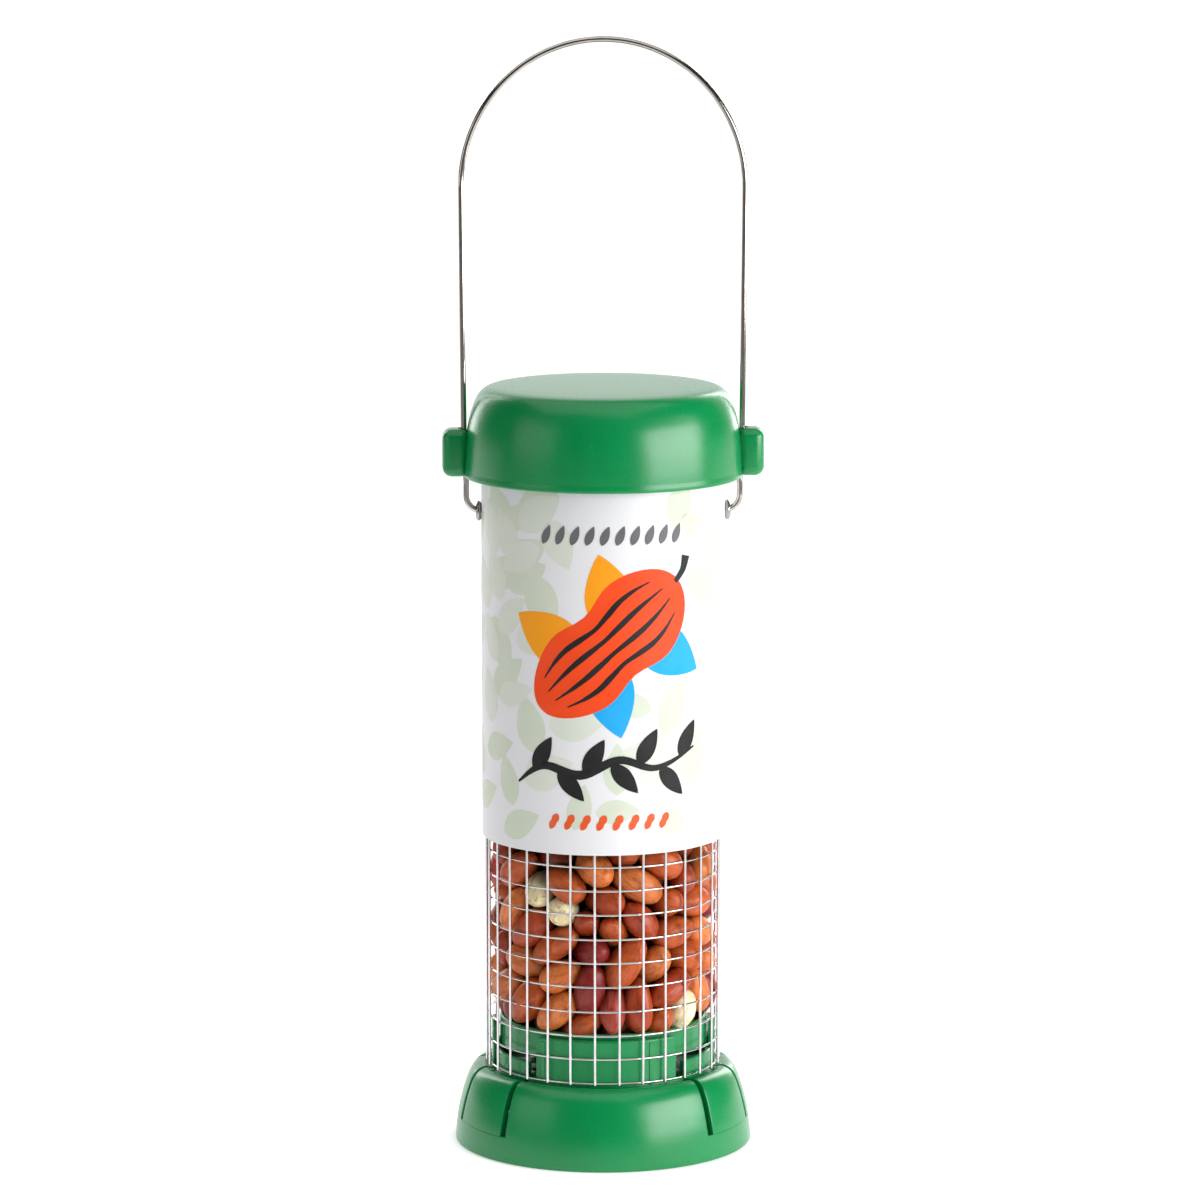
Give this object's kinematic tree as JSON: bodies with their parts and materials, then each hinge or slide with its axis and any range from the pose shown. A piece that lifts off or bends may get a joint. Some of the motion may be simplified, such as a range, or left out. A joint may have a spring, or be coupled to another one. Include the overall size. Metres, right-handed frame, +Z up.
{
  "type": "hanging bird feeder",
  "caption": "Hanging bird feeder: a welded wire mesh tube of peanuts with a printed sleeve, a moulded lid and base, and a wire handle.",
  "frame": {"origin": "centre of the object's box in plan, at the bottom rim of the base, on the tube's axis", "axes": "+Z up along the tube, +X through the lid's right ear and the handle's pivots, -Y the front of the label"},
  "size_m": [0.0836, 0.0778, 0.2903],
  "materials": {
    "mesh_steel": "satin",
    "label_film": "satin",
    "collar_plastic": "satin",
    "eyelet_steel": "polished",
    "handle_steel": "polished",
    "green_plastic": "satin",
    "peanut": "matte"
  },
  "bodies": {
    "tube": {"mesh_tube": "mesh_steel", "label_sleeve": "label_film", "top_collar": "collar_plastic", "eyelet_left": "eyelet_steel", "eyelet_right": "eyelet_steel"},
    "handle": {"bail_handle": "handle_steel"},
    "lid": {"lid": "green_plastic"},
    "base": {"base_skirt": "green_plastic", "seed_tray": "green_plastic", "peanuts": "peanut"},
    "tab_front_right": {"release_tab_front_right": "green_plastic"},
    "tab_back_right": {"release_tab_back_right": "green_plastic"},
    "tab_back_left": {"release_tab_back_left": "green_plastic"},
    "tab_front_left": {"release_tab_front_left": "green_plastic"}
  },
  "joints": [
    {"name": "tube_lift", "type": "slide", "parent": "base", "child": "tube", "axis": [0, 0, 1], "range_m": [0, 0.03]},
    {"name": "handle_swing", "type": "hinge", "parent": "tube", "child": "handle", "pos_m": [0, 0, 0.1673], "axis": [1, 0, 0], "range_deg": [-4, 4]},
    {"name": "lid_lift", "type": "slide", "parent": "handle", "child": "lid", "axis": [0, 0, 1], "range_m": [0, 0.062]},
    {"name": "tab_press_front_right", "type": "hinge", "parent": "base", "child": "tab_front_right", "pos_m": [0.03243, -0.01761, 0.007], "axis": [-0.4772, -0.8788, 0], "range_deg": [0, 4], "stiffness_Nm_per_rad": 0.5},
    {"name": "tab_press_back_right", "type": "hinge", "parent": "base", "child": "tab_back_right", "pos_m": [0.03243, 0.01761, 0.007], "axis": [0.4772, -0.8788, 0], "range_deg": [0, 4], "stiffness_Nm_per_rad": 0.5},
    {"name": "tab_press_back_left", "type": "hinge", "parent": "base", "child": "tab_back_left", "pos_m": [-0.03243, 0.01761, 0.007], "axis": [0.4772, 0.8788, 0], "range_deg": [0, 4], "stiffness_Nm_per_rad": 0.5},
    {"name": "tab_press_front_left", "type": "hinge", "parent": "base", "child": "tab_front_left", "pos_m": [-0.03243, -0.01761, 0.007], "axis": [-0.4772, 0.8788, 0], "range_deg": [0, 4], "stiffness_Nm_per_rad": 0.5}
  ]
}
